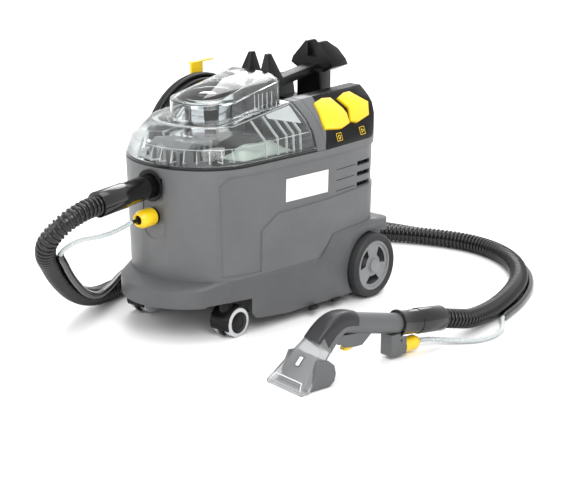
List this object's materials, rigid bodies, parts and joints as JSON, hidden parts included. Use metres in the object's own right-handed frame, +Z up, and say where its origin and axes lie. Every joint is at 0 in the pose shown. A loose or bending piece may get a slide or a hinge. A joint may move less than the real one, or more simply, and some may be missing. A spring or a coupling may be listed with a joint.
{
  "type": "carpet cleaner machine",
  "caption": "Wheeled carpet spray-extraction machine with a clear-lidded waste tank, a hose and a hand nozzle.",
  "frame": {"origin": "on the floor, midway along the housing and on its middle plane", "axes": "+X from the bumper to the rear wheels, +Y to the cord hooks, +Z up"},
  "size_m": [0.9879, 0.682, 0.4408],
  "materials": {
    "shell_grey": "fine-grained moulded plastic, mid grey",
    "chassis_grey": "fine-grained moulded plastic, dark grey",
    "cover_black": "smooth black plastic with a soft sheen",
    "band_grey": "satin dark grey plastic",
    "trim_black": "fine-grained black plastic",
    "yellow_plastic": "smooth yellow plastic",
    "clear_plastic": "clear moulded polycarbonate",
    "tank_black": "glossy black plastic",
    "sieve_grey": "smooth grey plastic",
    "cage_chrome": "bright plated",
    "tyre_grey": "soft dark grey tread",
    "rim_grey": "smooth light grey plastic",
    "steel": "turned and zinc plated",
    "caster_white": "hard light grey plastic",
    "rubber_black": "soft black rubber",
    "hose_black": "glossy flexible black plastic",
    "cord_black": "smooth black flex sheath",
    "tube_clear": "milky clear tubing in a black sleeve",
    "white_plastic": "smooth white plastic",
    "badge_white": "glossy white plate",
    "motor_metal": "cast and pressed aluminium",
    "nozzle_grey": "fine-grained grey plastic",
    "pin_brass": "bright plated pins in a black moulding"
  },
  "bodies": {
    "housing": {"chassis": "chassis_grey", "body_shell": "shell_grey", "seal_band": "band_grey", "rear_cover": "cover_black", "carry_handle": "trim_black", "rim_seal": "rubber_black", "hose_port": "trim_black", "spray_port": "trim_black", "badge_plate": "badge_white", "exhaust_grille": "trim_black", "vacuum_motor": "motor_metal", "fan_housing": "motor_metal", "motor_mount": "rubber_black", "suction_duct": "trim_black", "spray_pump": "trim_black", "fluid_hoses": "white_plastic", "fresh_filter": "white_plastic", "switch_spray": "trim_black", "switch_vacuum": "trim_black", "cord_hook_lower": "trim_black", "cord_hook_arm": "trim_black", "cord_gland": "rubber_black", "rear_axle": "steel", "skid_pads": "rubber_black", "screws": "steel", "power_cord": "cord_black", "power_coil": "cord_black", "power_plug": "pin_brass", "suction_hose": "hose_black", "spray_tube": "tube_clear", "hose_cuffs": "trim_black", "nozzle_tube": "nozzle_grey", "nozzle_mouth": "clear_plastic", "nozzle_frame": "nozzle_grey", "nozzle_valve": "nozzle_grey"},
    "tank": {"dirty_tank": "tank_black", "lint_sieve": "sieve_grey"},
    "lid": {"tank_lid": "clear_plastic", "float_cage": "cage_chrome"},
    "float": {"float": "white_plastic"},
    "wheel_near": {"tyre_near": "tyre_grey", "rim_near": "rim_grey", "hub_cap_near": "rim_grey"},
    "wheel_far": {"tyre_far": "tyre_grey", "rim_far": "rim_grey", "hub_cap_far": "rim_grey"},
    "caster_near": {"caster_fork_near": "trim_black", "caster_axle_near": "steel"},
    "caster_far": {"caster_fork_far": "trim_black", "caster_axle_far": "steel"},
    "caster_roll_near": {"caster_wheels_near": "caster_white"},
    "caster_roll_far": {"caster_wheels_far": "caster_white"},
    "spray_button": {"button_spray": "yellow_plastic"},
    "vacuum_button": {"button_vacuum": "yellow_plastic"},
    "hook_finger": {"cord_hook_finger": "yellow_plastic"},
    "turbine": {"impeller": "motor_metal", "motor_shaft": "steel"},
    "machine_sleeve": {"spray_coupling": "yellow_plastic"},
    "tool_sleeve": {"tool_coupling": "yellow_plastic"},
    "trigger": {"nozzle_trigger": "yellow_plastic"}
  },
  "joints": [
    {"name": "dirty_tank_lift", "type": "slide", "parent": "housing", "child": "tank", "axis": [0, 0, 1], "range_m": [0, 0.2]},
    {"name": "tank_lid_lift", "type": "slide", "parent": "tank", "child": "lid", "axis": [0, 0, 1], "range_m": [0, 0.14]},
    {"name": "float_rise", "type": "slide", "parent": "lid", "child": "float", "axis": [0, 0, 1], "range_m": [0, 0.015]},
    {"name": "wheel_spin_near", "type": "hinge", "parent": "housing", "child": "wheel_near", "pos_m": [0.181, -0.1475, 0.058], "axis": [0, 1, 0], "continuous": true},
    {"name": "caster_swivel_near", "type": "hinge", "parent": "housing", "child": "caster_near", "pos_m": [-0.144, -0.098, 0.06], "axis": [0, 0, 1], "continuous": true},
    {"name": "caster_roll_near", "type": "hinge", "parent": "caster_near", "child": "caster_roll_near", "pos_m": [-0.134, -0.098, 0.025], "axis": [0, 1, 0], "continuous": true},
    {"name": "wheel_spin_far", "type": "hinge", "parent": "housing", "child": "wheel_far", "pos_m": [0.181, 0.1475, 0.058], "axis": [0, 1, 0], "continuous": true},
    {"name": "caster_swivel_far", "type": "hinge", "parent": "housing", "child": "caster_far", "pos_m": [-0.144, 0.098, 0.06], "axis": [0, 0, 1], "continuous": true},
    {"name": "caster_roll_far", "type": "hinge", "parent": "caster_far", "child": "caster_roll_far", "pos_m": [-0.134, 0.098, 0.025], "axis": [0, 1, 0], "continuous": true},
    {"name": "button_spray_press", "type": "slide", "parent": "housing", "child": "spray_button", "axis": [0, 0.7804, -0.6252], "range_m": [0, 0.003], "stiffness_N_per_m": 400, "springref_m": -0.001},
    {"name": "button_vacuum_press", "type": "slide", "parent": "housing", "child": "vacuum_button", "axis": [0, 0.7804, -0.6252], "range_m": [0, 0.003], "stiffness_N_per_m": 400, "springref_m": -0.001},
    {"name": "hook_finger_turn", "type": "hinge", "parent": "housing", "child": "hook_finger", "pos_m": [0.094, 0.1845, 0.33722], "axis": [0, 1, 0], "range_deg": [0, 180]},
    {"name": "turbine_spin", "type": "hinge", "parent": "housing", "child": "turbine", "pos_m": [0.135, 0, 0.24], "axis": [0, 0, 1], "continuous": true},
    {"name": "machine_sleeve_pull", "type": "slide", "parent": "housing", "child": "machine_sleeve", "axis": [-1, 0, 0], "range_m": [0, 0.005], "stiffness_N_per_m": 300, "springref_m": -0.001},
    {"name": "tool_sleeve_pull", "type": "slide", "parent": "housing", "child": "tool_sleeve", "axis": [0.9816, -0.1908, 0], "range_m": [0, 0.005], "stiffness_N_per_m": 300, "springref_m": -0.001},
    {"name": "trigger_squeeze", "type": "hinge", "parent": "housing", "child": "trigger", "pos_m": [-0.13941, -0.353, 0.05], "axis": [-0.1908, -0.9816, 0], "range_deg": [0, 10], "stiffness_Nm_per_rad": 0.2, "springref_deg": -1.15}
  ]
}
